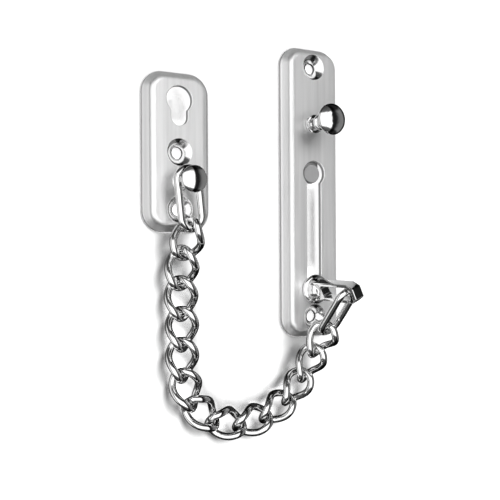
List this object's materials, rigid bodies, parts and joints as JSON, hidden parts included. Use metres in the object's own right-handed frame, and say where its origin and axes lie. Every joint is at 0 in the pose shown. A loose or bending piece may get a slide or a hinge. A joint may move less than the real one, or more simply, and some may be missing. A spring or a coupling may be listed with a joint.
{
  "type": "door chain guard",
  "caption": "Slotted track plate with a captive slide bolt and sprung release knob, joined by a twisted-link chain to a keyhole frame plate with a mushroom stud.",
  "frame": {"origin": "under the middle of the whole guard, on the plane that the backs of both plates rest on", "axes": "+Z out of the plates, away from the door; +Y up the plates, towards the release knob; +X from the frame plate to the track plate"},
  "size_m": [0.0848, 0.1552, 0.035],
  "materials": {
    "satin_plate": "satin stainless steel, fine lines along the plate, polished countersinks",
    "polished": "polished chrome plate",
    "spring_steel": "plain grey spring steel"
  },
  "bodies": {
    "track": {"track_plate": "satin_plate", "knob_bush": "polished", "leaf_rivet": "spring_steel", "leaf_spring": "spring_steel"},
    "release": {"release_knob": "polished", "blocking_disc": "spring_steel"},
    "foot": {"bolt_foot": "polished"},
    "bolt": {"slide_bolt": "polished"},
    "end_link_bolt": {"end_link_bolt": "polished"},
    "link_01": {"link_01": "polished"},
    "link_02": {"link_02": "polished"},
    "link_03": {"link_03": "polished"},
    "link_04": {"link_04": "polished"},
    "link_05": {"link_05": "polished"},
    "link_06": {"link_06": "polished"},
    "link_07": {"link_07": "polished"},
    "link_08": {"link_08": "polished"},
    "link_09": {"link_09": "polished"},
    "link_10": {"link_10": "polished"},
    "link_11": {"link_11": "polished"},
    "link_12": {"link_12": "polished"},
    "link_13": {"link_13": "polished"},
    "end_link_frame": {"end_link_frame": "polished"},
    "frame": {"frame_plate": "satin_plate", "frame_stud": "polished"}
  },
  "joints": [
    {"name": "release_press", "type": "slide", "parent": "track", "child": "release", "axis": [0, 0, -1], "range_m": [0, 0.0017], "stiffness_N_per_m": 800, "springref_m": -0.0005, "deforming": ["leaf_spring"]},
    {"name": "bolt_slide", "type": "slide", "parent": "track", "child": "foot", "axis": [0, 1, 0], "range_m": [0, 0.038]},
    {"name": "bolt_swivel", "type": "hinge", "parent": "foot", "child": "bolt", "pos_m": [0.02923, -0.021, 0], "axis": [0, 0, 1], "range_deg": [-12, 90]},
    {"name": "end_link_bolt_swing", "type": "hinge", "parent": "bolt", "child": "end_link_bolt", "pos_m": [0.03025, -0.02033, 0.0286], "axis": [-0.9589, -0.0991, 0.2658], "range_deg": [0, 16]},
    {"name": "link_01_lift", "type": "hinge", "parent": "end_link_bolt", "child": "link_01", "pos_m": [0.02833, -0.03595, 0.01586], "axis": [-0.9436, 0.2814, -0.1744], "range_deg": [-10, 10]},
    {"name": "link_02_swing", "type": "hinge", "parent": "link_01", "child": "link_02", "pos_m": [0.02666, -0.04541, 0.00962], "axis": [-0.1502, -0.293, 0.9442], "range_deg": [-8, 14]},
    {"name": "link_03_lift", "type": "hinge", "parent": "link_02", "child": "link_03", "pos_m": [0.02332, -0.0557, 0.00589], "axis": [0.7913, -0.6075, -0.0692], "range_deg": [-10, 10]},
    {"name": "link_04_swing", "type": "hinge", "parent": "link_03", "child": "link_04", "pos_m": [0.01632, -0.06466, 0.0045], "axis": [0, 0, -1], "range_deg": [-16, 10]},
    {"name": "link_05_lift", "type": "hinge", "parent": "link_04", "child": "link_05", "pos_m": [0.00631, -0.07021, 0.0045], "axis": [-0.1736, 0.9848, 0], "range_deg": [-12, 12]},
    {"name": "link_06_swing", "type": "hinge", "parent": "link_05", "child": "link_06", "pos_m": [-0.00497, -0.0722, 0.0045], "axis": [0.0079, 0.034, 0.9994], "range_deg": [-8, 18]},
    {"name": "link_07_lift", "type": "hinge", "parent": "link_06", "child": "link_07", "pos_m": [-0.01613, -0.06963, 0.0045], "axis": [-0.6545, -0.7529, 0.0698], "range_deg": [-10, 10]},
    {"name": "link_08_swing", "type": "hinge", "parent": "link_07", "child": "link_08", "pos_m": [-0.02477, -0.06211, 0.0045], "axis": [-0.066, -0.0227, -0.9976], "range_deg": [-18, 2]},
    {"name": "link_09_lift", "type": "hinge", "parent": "link_08", "child": "link_09", "pos_m": [-0.02849, -0.05129, 0.0045], "axis": [1, 0, 0], "range_deg": [0, 14]},
    {"name": "link_10_swing", "type": "hinge", "parent": "link_09", "child": "link_10", "pos_m": [-0.02849, -0.03984, 0.0045], "axis": [-0.0349, 0, 0.9994], "range_deg": [-18, 18]},
    {"name": "link_11_lift", "type": "hinge", "parent": "link_10", "child": "link_11", "pos_m": [-0.02849, -0.02839, 0.0045], "axis": [-0.9833, -0.0566, -0.1732], "range_deg": [-12, 12]},
    {"name": "link_12_swing", "type": "hinge", "parent": "link_11", "child": "link_12", "pos_m": [-0.02929, -0.01699, 0.0053], "axis": [0.362, 0.2037, -0.9097], "range_deg": [-14, 14]},
    {"name": "link_13_lift", "type": "hinge", "parent": "link_12", "child": "link_13", "pos_m": [-0.0291, -0.00584, 0.00787], "axis": [0.7979, -0.3397, 0.498], "range_deg": [-10, 10]},
    {"name": "end_link_frame_swing", "type": "hinge", "parent": "link_13", "child": "end_link_frame", "pos_m": [-0.02704, 0.00472, 0.01179], "axis": [0.1839, -0.0608, 0.9811], "range_deg": [-12, 12]},
    {"name": "frame_plate_turn", "type": "hinge", "parent": "end_link_frame", "child": "frame", "pos_m": [-0.02923, 0.02031, 0], "axis": [0, 0, -1], "range_deg": [-20, 20]}
  ],
  "couplings": [
    {"joint": "end_link_bolt_swing", "follows": "bolt_slide", "rad_per_m": 6},
    {"joint": "link_09_lift", "follows": "bolt_slide", "rad_per_m": 5.75}
  ]
}
